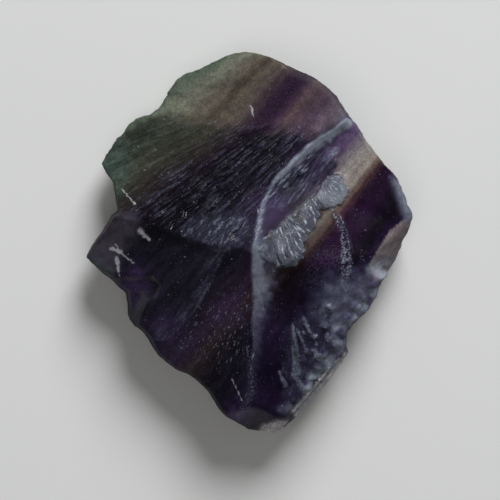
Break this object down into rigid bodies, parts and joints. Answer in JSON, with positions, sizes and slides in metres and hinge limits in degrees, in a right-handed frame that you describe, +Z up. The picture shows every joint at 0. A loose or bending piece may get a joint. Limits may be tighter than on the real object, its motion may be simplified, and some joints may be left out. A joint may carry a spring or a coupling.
{
  "type": "rough fluorite cleavage fragment",
  "caption": "Rough chip of banded purple fluorite with a sharp crest, striated cleavage faces and a flat back that it rests on.",
  "frame": {"origin": "centre of the bounding box's foot, on the flat back that the stone rests on", "axes": "+Z up from the flat back to the crest, +Y from the bottom tip to the rounded top edge, +X to the blunt right edge"},
  "size_m": [0.037, 0.0432, 0.0142],
  "materials": {
    "fluorite": "translucent banded crystal, from clear greenish grey to dark purple, frosted bluish white along crest, steps and broken edges"
  },
  "bodies": {
    "root": {"fluorite": "fluorite"}
  },
  "joints": []
}
